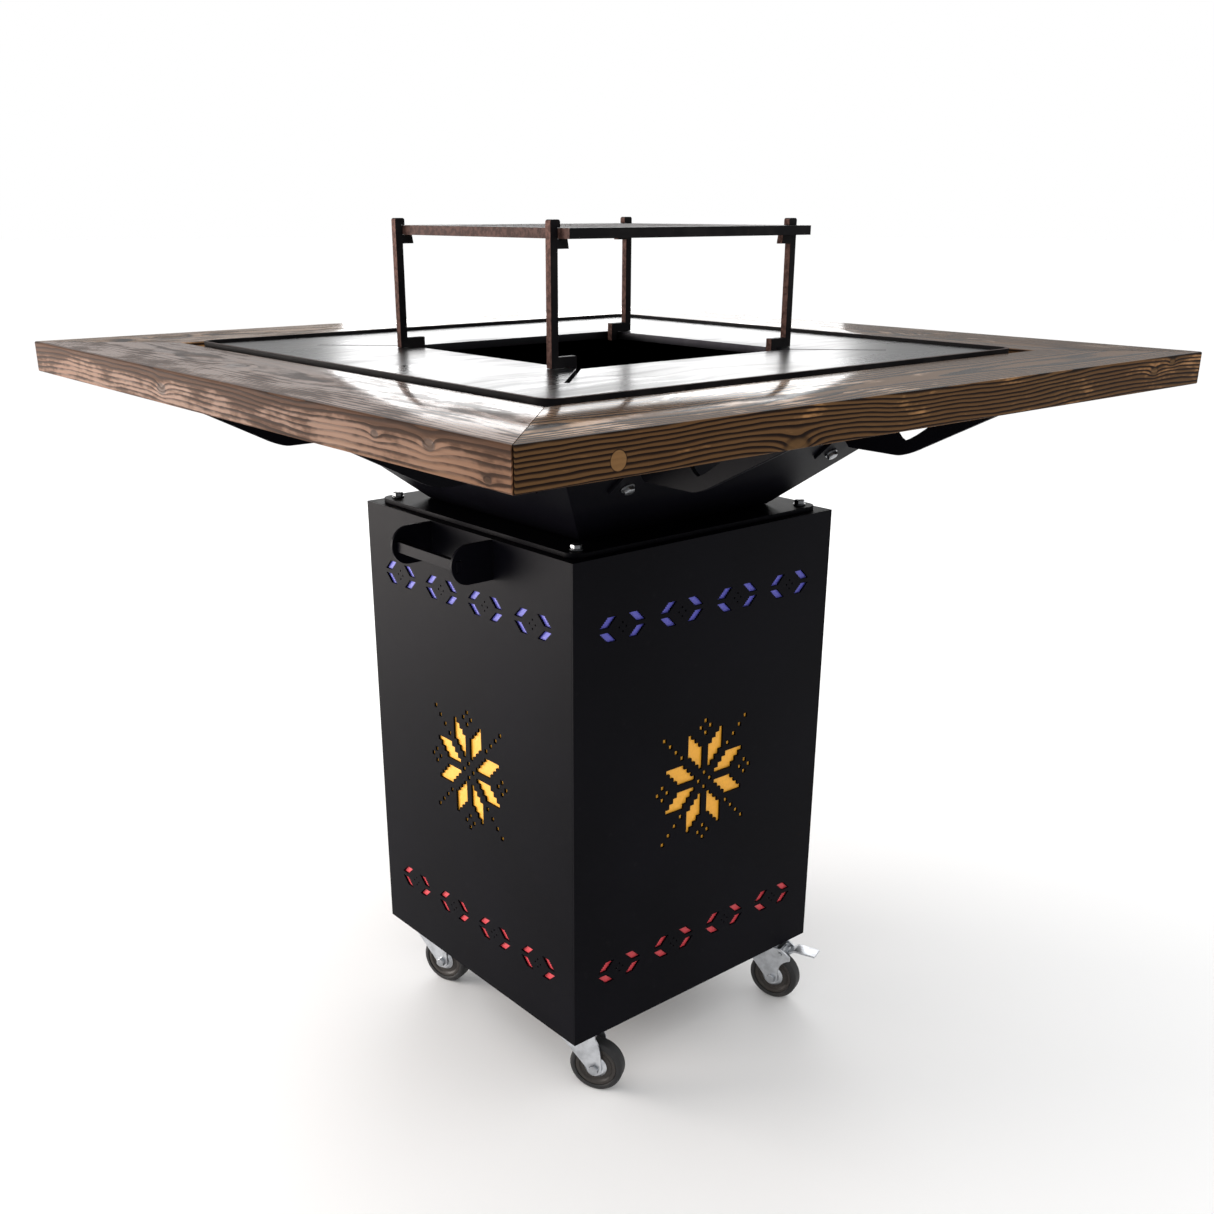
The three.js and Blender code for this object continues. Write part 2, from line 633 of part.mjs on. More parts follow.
function gratePlate() {
  const halfX = spineInner - GRATE_SIDE_GAP;
  const right = spineInner + LEG_SPINE + GRATE_OVERHANG_RIGHT;
  const front = frontLegY - LEG_SHEET / 2 - GRATE_OVERHANG_FRONT;
  const back = backLegY + LEG_SHEET / 2 + GRATE_OVERHANG_BACK;
  const notchHalf = LEG_SHEET / 2 + GRATE_SIDE_GAP;
  const shape = outline([
    [-halfX, front],
    [right, front],
    [right, frontLegY - notchHalf],
    [halfX, frontLegY - notchHalf],
    [halfX, frontLegY + notchHalf],
    [right, frontLegY + notchHalf],
    [right, backLegY - notchHalf],
    [halfX, backLegY - notchHalf],
    [halfX, backLegY + notchHalf],
    [right, backLegY + notchHalf],
    [right, back],
    [-halfX, back],
  ]);
  const pitch = (2 * (halfX - GRATE_BORDER)) / GRATE_SLOT_COUNT;
  const slotStart = front + GRATE_BORDER;
  const slotEnd = back - GRATE_BORDER;
  for (let i = 0; i < GRATE_SLOT_COUNT; i += 1) {
    const x = -halfX + GRATE_BORDER + (i + 0.5) * pitch;
    shape.holes.push(
      roundedBox(
        x - GRATE_SLOT_WIDTH / 2, x + GRATE_SLOT_WIDTH / 2, slotStart, slotEnd, GRATE_SLOT_WIDTH * 0.49,
      ),
    );
  }
  return raise(shape, GRATE_THICK, grateBottom, 2);
}

place('grate_plate', gratePlate(), scorchedSteel);

// ---- Casters ------------------------------------------------------------------------------
// Local frame: the swivel axis is Z, the wheel trails along +X and its axle is along Y.
const mountTop = cabinetBottom - TOUCH_GAP;
const raceBottom = mountTop - MOUNT_SHEET - RACE_DEPTH;
const crownTop = raceBottom - RUNNING_GAP;
const crownBottom = crownTop - FORK_SHEET;
const legInner = HUB_WIDTH / 2 + RUNNING_GAP;
const legOuter = legInner + FORK_SHEET;
const pinX = CASTER_TRAIL + PEDAL_PIN_BACK;
const pinZ = 2 * WHEEL_RADIUS + PEDAL_PIN_OVER_WHEEL;

function casterMount() {
  const headTop = crownBottom - RUNNING_GAP;
  const pinTop = mountTop - MOUNT_SHEET / 2;
  return join(
    block(
      -MOUNT_SIDE / 2, MOUNT_SIDE / 2, -MOUNT_SIDE / 2, MOUNT_SIDE / 2, mountTop - MOUNT_SHEET, mountTop,
    ),
    rod(RACE_RADIUS - 2, RACE_DEPTH + MOUNT_SHEET / 2, raceBottom, 28, RACE_RADIUS),
    rod(KINGPIN_RADIUS, pinTop - headTop, headTop, 16),
    rod(KINGPIN_HEAD, KINGPIN_HEAD_THICK, headTop - KINGPIN_HEAD_THICK, 16),
  );
}

function forkLeg(braked) {
  const back = CASTER_TRAIL + FORK_FOOT_RADIUS;
  const crownBack = braked ? CASTER_TRAIL + FORK_TAIL : FORK_CROWN_RADIUS;
  const shape = new THREE.Shape();
  shape.moveTo(-FORK_CROWN_RADIUS * 0.8, crownTop);
  shape.lineTo(-FORK_CROWN_RADIUS * 0.8, crownBottom - 6);
  shape.lineTo(CASTER_TRAIL - FORK_FOOT_RADIUS, WHEEL_RADIUS);
  shape.absarc(CASTER_TRAIL, WHEEL_RADIUS, FORK_FOOT_RADIUS, Math.PI, 2 * Math.PI, false);
  if (braked) {
    shape.lineTo(back, WHEEL_RADIUS + 12);
    shape.quadraticCurveTo(back, pinZ - 16, crownBack, pinZ - 9);
    shape.lineTo(crownBack, pinZ - 2);
    shape.lineTo(pinX, crownTop);
  } else {
    shape.quadraticCurveTo(back, 2 * WHEEL_RADIUS, crownBack, crownBottom - 4);
    shape.lineTo(crownBack, crownTop);
  }
  shape.closePath();
  return shape;
}

function casterFork(braked) {
  const leg = (y) => platePastY(forkLeg(braked), FORK_SHEET, y, 6);
  const crownBack = braked ? pinX - 8 : FORK_CROWN_RADIUS;
  const legMiddle = legInner + FORK_SHEET / 2;
  const solid = join(
    leg(legMiddle),
    leg(-legMiddle),
    block(-FORK_CROWN_RADIUS * 0.8, crownBack, -legOuter, legOuter, crownBottom, crownTop),
    rod(FORK_CROWN_RADIUS, FORK_SHEET, crownBottom, 28),
  );
  const holes = [
    rod(KINGPIN_RADIUS + RUNNING_GAP, 3 * FORK_SHEET, crownBottom - FORK_SHEET, 16),
    crossRod(AXLE_RADIUS + BOLT_CLEARANCE, 3 * legOuter, CASTER_TRAIL, WHEEL_RADIUS, 16),
  ];
  if (braked) {
    holes.push(crossRod(PEDAL_PIN_RADIUS + RUNNING_GAP, 3 * legOuter, pinX, pinZ, 12));
  }
  return cut(solid, ...holes);
}

function brakePedal() {
  const half = PEDAL_SHEET / 2;
  const profile = outline([
    [-4, -half],
    [10, -half],
    [22, -half + PEDAL_RISE],
    [PEDAL_REACH, -half + PEDAL_RISE],
    [PEDAL_REACH, half + PEDAL_RISE],
    [21, half + PEDAL_RISE],
    [9, half],
    [-4, half],
  ].map(([x, z]) => [pinX + x, pinZ + z]));
  return join(
    platePastY(profile, PEDAL_WIDTH, 0),
    crossRod(PEDAL_PIN_RADIUS, 2 * legOuter + 2, pinX, pinZ, 12),
  );
}

// A ring about the axle, from a closed profile of (radius, distance along the axle).
function wheelRing(profile) {
  const closed = [...profile, profile[0]].map(([r, y]) => new THREE.Vector2(r, y));
  return new THREE.LatheGeometry(closed, 28).translate(CASTER_TRAIL, 0, WHEEL_RADIUS);
}

const tyreSeat = WHEEL_RADIUS - TYRE_THICK;

function tyre() {
  const half = TYRE_WIDTH / 2;
  const tread = WHEEL_RADIUS - TYRE_CORNER;
  return wheelRing([
    [tyreSeat + TOUCH_GAP, -half],
    [tread, -half],
    [WHEEL_RADIUS, -half + TYRE_CORNER],
    [WHEEL_RADIUS, half - TYRE_CORNER],
    [tread, half],
    [tyreSeat + TOUCH_GAP, half],
  ]);
}

function wheelCore() {
  const bore = AXLE_RADIUS + RUNNING_GAP;
  const rimInner = tyreSeat - WHEEL_RIM_THICK;
  const side = [
    [bore, HUB_WIDTH / 2],
    [HUB_RADIUS, HUB_WIDTH / 2],
    [HUB_RADIUS, WEB_WIDTH / 2],
    [rimInner, WEB_WIDTH / 2],
    [rimInner, WHEEL_RIM_WIDTH / 2],
    [tyreSeat, WHEEL_RIM_WIDTH / 2],
  ];
  const otherSide = side.map(([r, y]) => [r, -y]);
  return wheelRing([...otherSide, ...side.reverse()]);
}

function axleBolt() {
  const inner = legOuter + TOUCH_GAP;
  const end = (y) =>
    hexHead(AXLE_HEAD_FLATS, AXLE_HEAD_THICK, 0)
      .rotateX(Math.PI / 2)
      .translate(CASTER_TRAIL, y, WHEEL_RADIUS);
  return join(
    crossRod(AXLE_RADIUS, 2 * inner + 2, CASTER_TRAIL, WHEEL_RADIUS, 16),
    end(-inner),
    end(inner + AXLE_HEAD_THICK),
  );
}

Object.entries(REST_SWIVELS).forEach(([corner, degrees]) => {
  const reach = cabinetHalf - CASTER_INSET;
  const at = [corner.endsWith('right') ? reach : -reach, corner.startsWith('back') ? reach : -reach];
  const braked = BRAKED.includes(corner);
  place(`caster_mount_${corner}`, casterMount(), zinc).position.set(...at, 0);
  const swivel = new THREE.Group();
  swivel.position.set(...at, 0);
  swivel.rotation.z = THREE.MathUtils.degToRad(degrees);
  pit.add(swivel);
  place(`caster_fork_${corner}`, casterFork(braked), zinc, swivel);
  place(`caster_wheel_${corner}`, wheelCore(), wheelPlastic, swivel);
  place(`caster_tyre_${corner}`, tyre(), blackRubber, swivel);
  place(`caster_axle_${corner}`, axleBolt(), zinc, swivel);
  if (braked) {
    place(`brake_pedal_${corner}`, brakePedal(), zinc, swivel);
  }
});

export default pit;
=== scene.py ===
"""Fire pit table with a grate: the looks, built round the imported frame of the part."""

import json
import math
from functools import cache

import bmesh
import bpy
from bpy.props import FloatProperty, FloatVectorProperty, IntProperty, PointerProperty
from mathutils import Matrix, Vector


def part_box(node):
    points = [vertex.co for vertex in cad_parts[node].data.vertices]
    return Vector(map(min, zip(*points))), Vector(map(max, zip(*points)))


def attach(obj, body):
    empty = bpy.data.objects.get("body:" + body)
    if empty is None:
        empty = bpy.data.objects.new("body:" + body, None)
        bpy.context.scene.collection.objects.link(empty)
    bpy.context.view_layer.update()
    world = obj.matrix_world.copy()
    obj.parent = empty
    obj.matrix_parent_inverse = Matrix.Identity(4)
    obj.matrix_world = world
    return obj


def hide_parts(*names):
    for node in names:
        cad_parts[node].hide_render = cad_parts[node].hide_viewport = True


bl_info = {
    "name": "Fire Pit Table",
    "version": (1, 0, 0),
    "blender": (4, 5, 0),
    "location": "3D View > Sidebar > Fire Pit",
    "description": "Builds a scorched-wood fire pit table with a lift-off grate",
    "category": "Add Mesh",
}

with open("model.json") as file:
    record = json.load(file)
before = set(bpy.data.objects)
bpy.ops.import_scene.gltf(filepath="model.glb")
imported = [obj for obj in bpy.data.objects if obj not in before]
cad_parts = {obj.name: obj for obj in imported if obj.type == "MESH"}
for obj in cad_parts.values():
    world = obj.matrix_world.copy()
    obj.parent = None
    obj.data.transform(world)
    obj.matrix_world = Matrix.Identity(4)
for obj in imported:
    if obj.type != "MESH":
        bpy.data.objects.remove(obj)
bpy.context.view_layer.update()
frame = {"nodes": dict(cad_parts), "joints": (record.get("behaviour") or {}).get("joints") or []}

WELD = 1e-5  # metres, points nearer than this are one point
MITRE_GAP = 0.0003
FLAT = math.radians(1)
CREASE = math.radians(32)
QUARTER_TURN = math.pi / 2
SIDES = ("front", "right", "back", "left")
CORNERS = ("front_left", "front_right", "back_left", "back_right")
BRAKED = ("front_right", "back_right")
# Along X the brown faces are also painted light, and the faces along Y stay near-black as painted shade.
FACES_X, FACES_Z = 0, 2  # which way the browned cut edges of a steel piece face


# ---- Settings a user would change -----------------------------------------------------------
def length(name, default, description):
    return FloatProperty(
        name=name, description=description, default=default, min=0.0, subtype="DISTANCE", unit="LENGTH"
    )


def colour(name, default, description):
    return FloatVectorProperty(
        name=name, description=description, default=default, size=3, min=0.0, max=1.0, subtype="COLOR"
    )


class FirePitSizes(bpy.types.PropertyGroup):
    """Sizes of what is finer than the frame."""

    steel_edge: length("Steel edge", 0.0006, "Rounding of cut steel edges")
    board_edge: length("Board edge", 0.003, "Rounding of the boards' long edges")
    bolt_flats: length("Bolt flats", 0.013, "Width across the flats of the bolt heads")
    bolt_head: length("Bolt head", 0.0055, "Height of the bolt heads")
    washer_radius: length("Washer radius", 0.009, "Outer radius of the washers")
    washer_sheet: length("Washer thickness", 0.0016, "Thickness of the washers")
    star_cell: length("Star cell", 0.0071, "Step of the star's outline")
    star_dot: length("Star dot", 0.0066, "Side of the star's dots")
    hex_dot: length("Hexagon dot", 0.0025, "Side of the dots in the hexagons")
    wheel_segments: IntProperty(
        name="Wheel segments", description="Facets round a wheel", default=64, min=16, max=128
    )


class FirePitColours(bpy.types.PropertyGroup):
    """Colours of the finishes."""

    wood_light: colour("Light wood", (0.46, 0.245, 0.098), "Brushed wood between the burnt lines")
    wood_dark: colour("Burnt line", (0.032, 0.011, 0.004), "Burnt late wood")
    wood_char: colour("Char", (0.007, 0.0032, 0.0022), "Deeply scorched patches")
    steel: colour("Plate steel", (0.055, 0.055, 0.057), "Oiled cooking plate")
    scale: colour("Mill scale", (0.005, 0.0045, 0.0055), "Dark faces of the cut steel")
    # Brown of the cut edges; on the legs and grate it also stands for painted light on the faces along
    # X.
    brown_face_tone: colour("Cut edge", (0.20, 0.105, 0.085), "Heat-browned cut edges")
    coat: colour("Black coat", (0.0022, 0.0021, 0.0034), "Satin black paint")
    zinc: colour("Zinc", (0.62, 0.64, 0.67), "Bright zinc plate")
    rubber: colour("Rubber", (0.010, 0.010, 0.011), "Tyres")
    web: colour("Wheel web", (0.030, 0.024, 0.020), "Plastic of the wheels")
    pattern_blue: colour("Blue", (0.10, 0.10, 0.52), "Upper band of the pattern")
    pattern_yellow: colour("Yellow", (0.90, 0.42, 0.03), "Middle band of the pattern")
    pattern_red: colour("Red", (0.62, 0.045, 0.06), "Lower band of the pattern")


# ---- Shader expressions ---------------------------------------------------------------------
class Wire:
    """A shader output that arithmetic can be written on."""

    def __init__(self, finish, socket):
        self.finish = finish
        self.socket = socket

    def math(self, operation, *others):
        inputs = dict(enumerate((self,) + others))
        return self.finish.node("Math", inputs, operation=operation)

    def __add__(self, other):
        return self.math("ADD", other)

    def __sub__(self, other):
        return self.math("SUBTRACT", other)

    def __mul__(self, other):
        return self.math("MULTIPLY", other)

    def __truediv__(self, other):
        return self.math("DIVIDE", other)

    def __rsub__(self, other):
        return self.finish.node("Math", {0: other, 1: self}, operation="SUBTRACT")

    def __rtruediv__(self, other):
        return self.finish.node("Math", {0: other, 1: self}, operation="DIVIDE")

    __radd__ = __add__
    __rmul__ = __mul__

    def clamp(self):
        return self.finish.node("Clamp", {0: self})

    def rise(self, start, end):
        """0 below start, 1 above end and smooth between; start may be the larger."""
        inputs = {0: self, 1: start, 2: end}
        return self.finish.node("MapRange", inputs, interpolation_type="SMOOTHSTEP")


class Finish:
    """One finish: a node material with a Principled surface."""

    def __init__(self, name):
        self.material = bpy.data.materials.new(name)
        self.material.use_nodes = True
        self.tree = self.material.node_tree
        self.tree.nodes.clear()
        self.surface = self.tree.nodes.new("ShaderNodeBsdfPrincipled")
        end = self.tree.nodes.new("ShaderNodeOutputMaterial")
        self.tree.links.new(self.surface.outputs["BSDF"], end.inputs["Surface"])

    def node(self, kind, inputs=None, output=0, stops=None, **settings):
        node = self.tree.nodes.new("ShaderNode" + kind)
        for key, value in settings.items():
            setattr(node, key, value)
        if stops:
            ramp = node.color_ramp
            while len(ramp.elements) < len(stops):
                ramp.elements.new(1.0)
            for element, (position, shade) in zip(ramp.elements, stops):
                element.position = position
                element.color = (*shade, 1.0)
        for key, value in (inputs or {}).items():
            self.feed(node.inputs[key], value)
        return Wire(self, node.outputs[output])

    def feed(self, socket, value):
        if isinstance(value, Wire):
            self.tree.links.new(value.socket, socket)
        elif hasattr(value, "__len__") and len(value) == 3 and socket.type == "RGBA":
            socket.default_value = (*value, 1.0)
        else:
            socket.default_value = value

    def set(self, **values):
        for key, value in values.items():
            self.feed(self.surface.inputs[key.replace("_", " ").title().replace("Ior", "IOR")], value)
        return self.material

    def place(self):
        return self.node("TexCoord", output="Object")

    def axes(self):
        place = self.place()
        return tuple(self.node("SeparateXYZ", {0: place}, output=i) for i in range(3))

    def vector(self, x, y, z):
        return self.node("CombineXYZ", {0: x, 1: y, 2: z})

    def noise(self, vector, scale, detail=3.0, roughness=0.5):
        inputs = {"Vector": vector, "Scale": scale, "Detail": detail, "Roughness": roughness}
        return self.node("TexNoise", inputs)

    def mix(self, factor, first, second):
        inputs = {0: factor, 6: first, 7: second}
        return self.node("Mix", inputs, output=2, data_type="RGBA")

    def tint(self, factor, first, second):
        inputs = {0: factor, 6: first, 7: second}
        return self.node("Mix", inputs, output=2, data_type="RGBA", blend_type="MULTIPLY")

    def bump(self, height, strength, distance, under=None):
        inputs = {"Height": height, "Strength": strength, "Distance": distance}
        if under is not None:
            inputs["Normal"] = under
        return self.node("Bump", inputs)


def colours():
    return bpy.context.scene.fire_pit_colours


def sizes():
    return bpy.context.scene.fire_pit_sizes


# ---- Finishes -------------------------------------------------------------------------------
RING_SPACING = 0.0042
# Where the rings are centred, under each board: out from the table's middle, and height
PITH_FRONT, PITH_SIDE, PITH_HEIGHT = 0.515, 0.478, 0.925
PLUG_RADIUS = 0.0094
# Knots of each board: along the board, across it from the table's middle, height, size
KNOTS = {
    "front": ((-0.230, 0.578, 0.990, 0.010), (0.498, 0.578, 1.022, 0.004), (0.454, 0.578, 1.013, 0.005),
              (-0.32, 0.47, 1.03, 0.014)),
    "left": ((0.130, 0.578, 1.006, 0.006), (-0.362, 0.578, 1.012, 0.0035), (-0.454, 0.578, 1.014, 0.005),
             (-0.542, 0.578, 0.996, 0.003), (0.10, 0.49, 1.03, 0.010)),
    "right": ((0.21, 0.578, 1.006, 0.012), (-0.2, 0.50, 1.03, 0.015), (0.4, 0.46, 1.03, 0.012)),
    "back": ((-0.12, 0.578, 1.010, 0.010), (0.3, 0.49, 1.03, 0.014), (-0.4, 0.52, 1.03, 0.012)),
}
# Dowel plugs on the outer faces: along the board and height
PLUGS = {"front": ((-0.463, 1.004),), "right": ((-0.463, 1.004),), "back": ((0.463, 1.004),), "left": ()}


@cache
def scorched_wood(side):
    """Brushed and scorched softwood with its grain along one board."""
    tone = colours()
    finish = Finish(f"scorched_wood_{side}")
    x, y, z = finish.axes()
    along, across = {
        "front": (x, 0 - y), "back": (x, y), "left": (y, 0 - x), "right": (y, x),
    }[side]
    seed = 3.0 * SIDES.index(side)
    drift = finish.noise(finish.vector(along * 1.6 + seed, across * 5.0, z * 5.0), 1.0, 2.0)
    wander = finish.noise(finish.vector(along * 6.0 + seed, across * 30.0, z * 30.0), 1.0, 3.0, 0.6)
    pith_across = across - (PITH_FRONT if side in ("front", "back") else PITH_SIDE)
    pith_up = z - PITH_HEIGHT
    radius = (pith_across * pith_across + pith_up * pith_up).math("SQRT")
    radius = radius + drift * 0.035 + wander * 0.007
    knot_core = knot_rim = None
    for knot_along, knot_across, knot_up, size in KNOTS[side]:
        reach_along = (along - knot_along) / (size * 1.8)
        reach_across = (across - knot_across) / size
        reach_up = (z - knot_up) / size
        spread = reach_along * reach_along + reach_across * reach_across + reach_up * reach_up
        pull = 1.0 / (spread * 0.5 + 1.0)  # bends the rings round the knot
        radius = radius + pull * (size * 1.3)
        core = spread.rise(1.2, 0.5)
        rim = spread.rise(0.35, 0.9) * spread.rise(1.8, 1.1)
        knot_core = core if knot_core is None else knot_core.math("MAXIMUM", core)
        knot_rim = rim if knot_rim is None else knot_rim.math("MAXIMUM", rim)
    ring = (radius / RING_SPACING).math("FRACT")
    late_wood = ring.rise(0.30, 0.80) * ring.rise(1.0, 0.90)
    fibre = finish.noise(finish.vector(along * 9.0 + seed, across * 520.0, z * 520.0), 1.0, 2.0, 0.6)
    pores = finish.noise(finish.vector(along * 40.0, across * 900.0, z * 900.0), 1.0, 1.0)
    cloud = finish.noise(finish.vector(along * 3.0 + seed, across * 4.0, z * 6.0), 1.0, 2.0)
    lick = finish.noise(finish.vector(along * 12.0 + seed, across * 26.0, z * 34.0), 1.0, 4.0, 0.65)
    flame = lick * 0.62 + cloud * 0.38 + late_wood * 0.07 + fibre * 0.05 - 0.05
    outer_face = across.rise(0.570, 0.576)
    top_edge = z.rise(1.008, 1.028) * outer_face
    if side == "left":
        burnt = (flame + top_edge * 0.15).rise(0.47, 0.60)
        line = late_wood * (0.25 + cloud * 0.55)
    elif side == "front":
        toward_end = along.rise(-0.15, 0.35) * (1.0 - outer_face) * 0.16
        burnt = (flame + toward_end + outer_face * along.rise(0.42, 0.05) * 0.05).rise(0.385, 0.50)
        line = (late_wood * 0.95).clamp()
    else:
        burnt = (flame + (0.10 if side == "right" else 0.03)).rise(0.46, 0.58)
        line = late_wood * 0.9
    # Painted shade: the left board's wood is a darker, bluer copy of the same wood, set for how light
    # falls on that side.
    shade = (0.50, 0.47, 0.62) if side == "left" else (1.0, 1.0, 1.0)
    light = [c * k for c, k in zip(tone.wood_light, shade)]
    wood = finish.mix((fibre * 0.9).clamp(), light, [0.62 * c for c in light])
    smoked = [c * k for c, k in zip(light, (0.62, 0.50, 0.42))]
    wood = finish.mix(cloud.rise(0.35, 0.65) * 0.45, wood, smoked)
    wood = finish.mix(line, wood, tone.wood_dark)
    char_share = 0.62 if side == "left" else 0.72
    wood = finish.mix(burnt * (line * 0.25 + char_share), wood, tone.wood_char)
    wood = finish.mix(knot_core * 0.8, wood, [0.22 * c for c in light])
    wood = finish.mix(knot_rim * 0.45, wood, tone.wood_char)
    plug_ring = None
    plug_tone = [0.45 * c for c in tone.wood_light]
    for plug_along, plug_up in PLUGS[side]:
        away_along = along - plug_along
        away_up = z - plug_up
        away = (away_along * away_along + away_up * away_up).math("SQRT")
        outer = across.rise(0.5765, 0.5775)
        plug = away.rise(PLUG_RADIUS + 0.0004, PLUG_RADIUS - 0.0004) * outer
        wood = finish.mix(plug * 0.8, wood, plug_tone)
        seam_inside = away.rise(PLUG_RADIUS - 0.0006, PLUG_RADIUS)
        seam_outside = away.rise(PLUG_RADIUS + 0.0012, PLUG_RADIUS + 0.0004)
        edge = seam_inside * seam_outside * outer
        plug_ring = edge if plug_ring is None else plug_ring + edge
    if plug_ring is not None:
        wood = finish.mix(plug_ring * 0.7, wood, tone.wood_char)
    face = finish.node("NewGeometry", output="Normal")
    facing_up = finish.node("SeparateXYZ", {0: face}, output=2).rise(0.6, 0.98)
    relief = late_wood * 0.6 + fibre * 0.35 + pores * 0.15 - burnt * 0.3 - knot_core * 0.4
    return finish.set(
        base_color=wood,
        roughness=(0.36 + burnt * 0.22 + fibre * 0.14).clamp(),
        specular_ior_level=0.06,
        coat_weight=(facing_up * (1.0 - burnt * 0.55)).clamp(),
        coat_roughness=0.14,
        coat_ior=1.6,
        normal=finish.bump(relief, 0.35, 0.0012),
    )


@cache
def seasoned_steel():
    """Oiled cooking plate: rolled streaks, thin brown oil and clearer worn patches."""
    tone = colours()
    finish = Finish("seasoned_steel")
    x, y, z = finish.axes()
    warp = finish.noise(finish.vector(x * 4.0, y * 4.0, z), 1.0, 2.0) * 0.35
    streak = finish.noise(finish.vector(x * 2.0 + warp, y * 48.0 + warp * 12.0, z), 1.0, 4.0, 0.6)
    smear = finish.noise(finish.vector(x * 4.0 + warp * 3.0, y * 11.0 + warp * 5.0, z), 1.0, 5.0, 0.62)
    cloud = finish.noise(finish.vector(x * 3.0, y * 3.0, z), 1.0, 3.0)
    reach = x.math("ABSOLUTE").math("MAXIMUM", y.math("ABSOLUTE"))
    heat = reach.rise(0.27, 0.18) * cloud.rise(0.30, 0.62)
    metal = finish.mix(streak.rise(0.35, 0.7), tone.steel, [0.55 * c for c in tone.steel])
    metal = finish.mix(smear.rise(0.48, 0.72) * 0.6, metal, (0.055, 0.045, 0.040))
    metal = finish.mix(heat * 0.8, metal, (0.020, 0.018, 0.026))
    return finish.set(
        base_color=metal,
        metallic=0.85,
        roughness=(streak * 0.22 + smear * 0.24 + 0.06 + heat * 0.12).clamp(),
        normal=finish.bump(streak * 0.4 + smear * 0.6, 0.16, 0.0010),
    )


@cache
def cut_steel(name, brown_face_axis, edge_share):
    """Raw cut steel: dark mill scale on the wide faces, browned on the cut edges; on the legs and grate
    the brown faces along X are also painted light and the near-black faces along Y also painted shade.
    """
    tone = colours()
    finish = Finish(name)
    place = finish.place()
    face = finish.node("NewGeometry", output="Normal")
    facing = finish.node("SeparateXYZ", {0: face}, output=brown_face_axis).math("ABSOLUTE")
    spots = finish.noise(place, 160.0, 4.0, 0.65)
    cloud = finish.noise(place, 24.0, 3.0)
    # The faces along the given axis are made brown: browned cut edges, and on the legs and grate also
    # painted light.
    cut = facing.rise(0.6, 0.9) * edge_share
    brown = finish.mix(spots.rise(0.38, 0.62), tone.brown_face_tone, [0.45 * c for c in tone.brown_face_tone])
    dark = finish.mix(cloud.rise(0.4, 0.7) * 0.5, tone.scale, (0.020, 0.018, 0.018))
    speckle = spots.rise(0.62, 0.74) * 0.22
    metal = finish.mix((cut + speckle).clamp(), dark, brown)
    return finish.set(
        base_color=metal,
        metallic=0.0,
        roughness=(0.40 + cloud * 0.15 + cut * 0.2).clamp(),
        specular_ior_level=0.08,
        normal=finish.bump(spots * 0.6 + cloud * 0.4, 0.25, 0.0005),
    )


@cache
def black_coat(name="satin_black_coat", gloss=0.42):
    """Satin black powder coat with its fine orange peel, a little dust and rubbed spots."""
    tone = colours()
    finish = Finish(name)
    place = finish.place()
    peel = finish.noise(place, 900.0, 2.0)
    cloud = finish.noise(place, 5.0, 3.0)
    dust = finish.noise(place, 60.0, 5.0, 0.7)
    shade = finish.mix(cloud.rise(0.35, 0.7), tone.coat, [1.5 * c for c in tone.coat])
    shade = finish.mix(dust.rise(0.58, 0.8) * 0.06, shade, (0.06, 0.057, 0.06))
    return finish.set(
        base_color=shade,
        roughness=(gloss - 0.05 + cloud * 0.10 + dust * 0.06).clamp(),
        specular_ior_level=0.035,
        normal=finish.bump(peel, 0.08, 0.0002),
    )


@cache
def zinc_plate(name="bright_zinc", darkness=0.0):
    """Bright zinc plate with faint cloudy passivation and duller spots."""
    tone = colours()
    finish = Finish(name)
    place = finish.place()
    cloud = finish.noise(place, 70.0, 3.0)
    brush = finish.noise(place, 420.0, 2.0)
    # darkness dims the whole zinc; on the flange and bracket bolts this is painted shade.
    bright = [c * (1.0 - darkness) for c in tone.zinc]
    metal = finish.mix(cloud.rise(0.35, 0.7), bright, [0.72 * c for c in bright])
    return finish.set(
        base_color=metal,
        metallic=1.0,
        roughness=(0.20 + cloud * 0.16 + brush * 0.08).clamp(),
        normal=finish.bump(brush * 0.5 + cloud * 0.5, 0.10, 0.0003),
    )


@cache
def tyre_rubber():
    """Smooth black rubber, scuffed and dusty on the tread."""
    tone = colours()
    finish = Finish("tyre_rubber")
    z = finish.axes()[2]
    scuff = finish.noise(finish.place(), 120.0, 4.0, 0.7)
    dusty = z.rise(0.03, 0.0) * scuff.rise(0.4, 0.65)
    shade = finish.mix(dusty * 0.35, tone.rubber, (0.09, 0.08, 0.07))
    return finish.set(
        base_color=shade,
        roughness=(0.52 + scuff * 0.25).clamp(),
        normal=finish.bump(scuff, 0.15, 0.0004),
    )


@cache
def web_plastic():
    """Brown-black moulded plastic of the wheel's web."""
    tone = colours()
    finish = Finish("wheel_web_plastic")
    grain = finish.noise(finish.place(), 350.0, 3.0)
    shade = finish.mix(grain.rise(0.4, 0.7), tone.web, [0.7 * c for c in tone.web])
    return finish.set(
        base_color=shade,
        roughness=(0.45 + grain * 0.2).clamp(),
        normal=finish.bump(grain, 0.12, 0.0003),
    )


@cache
def pattern_paint():
    """Painted sheet seen through the cut-outs: blue above, yellow in the middle, red below."""
    tone = colours()
    low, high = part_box("cabinet_panel_front")
    middle = (low.z + high.z) / 2
    band = (high.z - low.z) / 5
    finish = Finish("pattern_paint")
    z = finish.axes()[2]
    grain = finish.noise(finish.place(), 240.0, 3.0)
    upper = z.math("GREATER_THAN", middle + band)
    lower = z.math("LESS_THAN", middle - band)
    paint = finish.mix(upper, tone.pattern_yellow, tone.pattern_blue)
    paint = finish.mix(lower, paint, tone.pattern_red)
    paint = finish.tint(grain.rise(0.4, 0.8) * 0.3, paint, (0.7, 0.7, 0.7))
    return finish.set(
        base_color=paint,
        roughness=(0.42 + grain * 0.2).clamp(),
        normal=finish.bump(grain, 0.08, 0.0002),
    )


